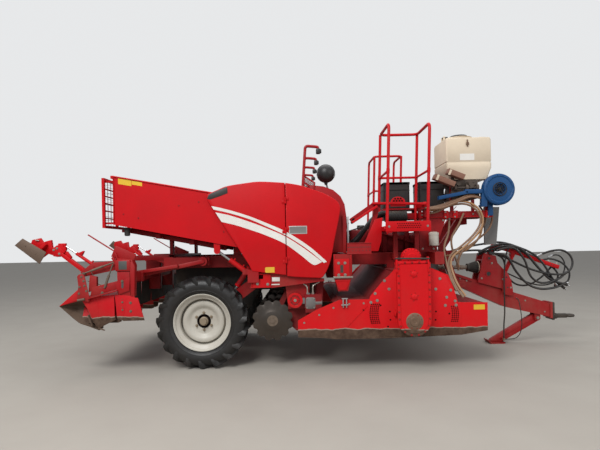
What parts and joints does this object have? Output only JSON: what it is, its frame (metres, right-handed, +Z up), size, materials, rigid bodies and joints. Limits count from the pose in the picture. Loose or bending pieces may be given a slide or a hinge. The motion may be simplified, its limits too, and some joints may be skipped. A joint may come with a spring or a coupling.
{
  "type": "potato planter",
  "caption": "Trailed potato planter with a front rotary tiller, tipping hopper, two carrier wheels, rear ridger and parking leg.",
  "frame": {"origin": "ground level under the middle of the machine's bounding box", "axes": "+X forwards towards the towing eye, +Y to the machine's left, +Z up"},
  "size_m": [7.8669, 3.218, 3.12],
  "materials": {
    "red_paint": "glossy",
    "cream_paint": "satin",
    "blue_paint": "satin",
    "grey_paint": "satin",
    "worn_steel": "worn",
    "tyre_rubber": "matte",
    "black_plastic": "matte",
    "rubber": "matte",
    "cream_plastic": "satin",
    "hose_brown": "satin",
    "hose_black": "satin"
  },
  "bodies": {
    "frame": {"chassis_frame": "red_paint", "axle_arms": "red_paint", "elevators": "red_paint", "row_units": "red_paint", "panel_right": "red_paint", "panel_left": "red_paint", "tiller_hood": "red_paint", "tiller_side_right": "red_paint", "tiller_side_left": "red_paint", "chaincase": "red_paint", "drawbar": "red_paint", "towing_eye": "worn_steel", "pto_drive": "grey_paint", "platform_right": "red_paint", "platform_left": "red_paint", "service_frame": "red_paint", "bins": "black_plastic", "air_duct": "grey_paint", "applicator_frame": "red_paint", "tank": "cream_plastic", "metering_unit": "grey_paint", "blower": "blue_paint", "hose_holder": "red_paint", "top_gate": "red_paint", "chute": "grey_paint", "leg_coupling": "worn_steel", "granule_hose_1": "hose_brown", "granule_hose_2": "hose_brown", "granule_hose_3": "hose_brown", "granule_hose_4": "hose_brown", "hydraulic_hose_1": "hose_black", "hydraulic_hose_2": "hose_black", "hydraulic_hose_3": "hose_black", "leg_hose": "hose_black", "leg_loop": "hose_black"},
    "wheel_right": {"tyre_right": "tyre_rubber", "rim_right": "cream_paint"},
    "wheel_left": {"tyre_left": "tyre_rubber", "rim_left": "cream_paint"},
    "rotor": {"tiller_rotor": "worn_steel"},
    "discs_right": {"discs_right": "worn_steel"},
    "discs_left": {"discs_left": "worn_steel"},
    "door_right": {"door_right": "red_paint"},
    "door_left": {"door_left": "red_paint"},
    "hopper": {"hopper": "red_paint"},
    "tip_barrel_right": {"tip_barrel_right": "red_paint"},
    "tip_barrel_left": {"tip_barrel_left": "red_paint"},
    "tip_rod_right": {"tip_rod_right": "worn_steel"},
    "tip_rod_left": {"tip_rod_left": "worn_steel"},
    "tank_lid": {"tank_lid": "black_plastic"},
    "parking_leg": {"parking_leg": "red_paint"},
    "ridger": {"ridger_frame": "red_paint", "ridger_hoods": "red_paint", "curtain": "rubber"},
    "blade_arm_right": {"blade_arm_right": "red_paint"},
    "blade_arm_left": {"blade_arm_left": "red_paint"},
    "blade_barrel_right": {"blade_barrel_right": "red_paint"},
    "blade_barrel_left": {"blade_barrel_left": "red_paint"},
    "blade_rod_right": {"blade_rod_right": "worn_steel"},
    "blade_rod_left": {"blade_rod_left": "worn_steel"}
  },
  "joints": [
    {"name": "wheel_right_spin", "type": "hinge", "parent": "frame", "child": "wheel_right", "pos_m": [-1.62, -1.125, 0.6025], "axis": [0, 1, 0], "continuous": true},
    {"name": "wheel_left_spin", "type": "hinge", "parent": "frame", "child": "wheel_left", "pos_m": [-1.62, 1.125, 0.6025], "axis": [0, 1, 0], "continuous": true},
    {"name": "rotor_spin", "type": "hinge", "parent": "frame", "child": "rotor", "pos_m": [1.06, 0, 0.622], "axis": [0, 1, 0], "continuous": true},
    {"name": "discs_right_spin", "type": "hinge", "parent": "frame", "child": "discs_right", "pos_m": [-0.695, -0.75, 0.622], "axis": [0, 1, 0], "continuous": true},
    {"name": "discs_left_spin", "type": "hinge", "parent": "frame", "child": "discs_left", "pos_m": [-0.695, 0.75, 0.622], "axis": [0, 1, 0], "continuous": true},
    {"name": "door_right_hinge", "type": "hinge", "parent": "frame", "child": "door_right", "pos_m": [-0.5, -1.363, 1.8], "axis": [0, 0, -1], "range_deg": [0, 100]},
    {"name": "door_left_hinge", "type": "hinge", "parent": "frame", "child": "door_left", "pos_m": [-0.5, 1.363, 1.8], "axis": [0, 0, 1], "range_deg": [0, 100]},
    {"name": "hopper_tip", "type": "hinge", "parent": "frame", "child": "hopper", "pos_m": [-1.2, 0, 1.525], "axis": [0, 1, 0], "range_deg": [0, 20]},
    {"name": "lid_hinge", "type": "hinge", "parent": "frame", "child": "tank_lid", "pos_m": [1.78, -0.56, 3.092], "axis": [0, -1, 0], "range_deg": [0, 110]},
    {"name": "leg_fold", "type": "hinge", "parent": "frame", "child": "parking_leg", "pos_m": [3.34, 0, 0.385], "axis": [0, 1, 0], "range_deg": [0, 20]},
    {"name": "ridger_lift", "type": "hinge", "parent": "frame", "child": "ridger", "pos_m": [-1.635, 0, 1.395], "axis": [0, 1, 0], "range_deg": [-3, 8]},
    {"name": "tip_barrel_right_swing", "type": "hinge", "parent": "frame", "child": "tip_barrel_right", "pos_m": [-1.04, -1.235, 1.262], "axis": [0, 1, 0], "range_deg": [0, 10]},
    {"name": "tip_rod_right_slide", "type": "slide", "parent": "tip_barrel_right", "child": "tip_rod_right", "axis": [-0.7959, 0, 0.6054], "range_m": [0, 0.06]},
    {"name": "blade_lower_right", "type": "hinge", "parent": "ridger", "child": "blade_arm_right", "pos_m": [-3.06, -1.325, 1.29], "axis": [0, -1, 0], "range_deg": [0, 45]},
    {"name": "blade_barrel_right_swing", "type": "hinge", "parent": "ridger", "child": "blade_barrel_right", "pos_m": [-2.95, -1.325, 1.37], "axis": [0, -1, 0], "range_deg": [0, 45]},
    {"name": "blade_rod_right_slide", "type": "slide", "parent": "blade_barrel_right", "child": "blade_rod_right", "axis": [-0.8137, 0, 0.5812], "range_m": [0, 0.1]},
    {"name": "tip_barrel_left_swing", "type": "hinge", "parent": "frame", "child": "tip_barrel_left", "pos_m": [-1.04, 1.235, 1.262], "axis": [0, 1, 0], "range_deg": [0, 10]},
    {"name": "tip_rod_left_slide", "type": "slide", "parent": "tip_barrel_left", "child": "tip_rod_left", "axis": [-0.7959, 0, 0.6054], "range_m": [0, 0.06]},
    {"name": "blade_lower_left", "type": "hinge", "parent": "ridger", "child": "blade_arm_left", "pos_m": [-3.06, 1.325, 1.29], "axis": [0, -1, 0], "range_deg": [0, 45]},
    {"name": "blade_barrel_left_swing", "type": "hinge", "parent": "ridger", "child": "blade_barrel_left", "pos_m": [-2.95, 1.325, 1.37], "axis": [0, -1, 0], "range_deg": [0, 45]},
    {"name": "blade_rod_left_slide", "type": "slide", "parent": "blade_barrel_left", "child": "blade_rod_left", "axis": [-0.8137, 0, 0.5812], "range_m": [0, 0.1]}
  ],
  "couplings": [
    {"joint": "tip_barrel_right_swing", "follows": "hopper_tip", "ratio": 0.3679},
    {"joint": "tip_rod_right_slide", "follows": "hopper_tip", "m_per_rad": 0.09395},
    {"joint": "blade_barrel_right_swing", "follows": "blade_lower_right", "ratio": 0.8458},
    {"joint": "blade_rod_right_slide", "follows": "blade_lower_right", "m_per_rad": 0.1054},
    {"joint": "tip_barrel_left_swing", "follows": "hopper_tip", "ratio": 0.3679},
    {"joint": "tip_rod_left_slide", "follows": "hopper_tip", "m_per_rad": 0.09395},
    {"joint": "blade_barrel_left_swing", "follows": "blade_lower_left", "ratio": 0.8458},
    {"joint": "blade_rod_left_slide", "follows": "blade_lower_left", "m_per_rad": 0.1054}
  ]
}
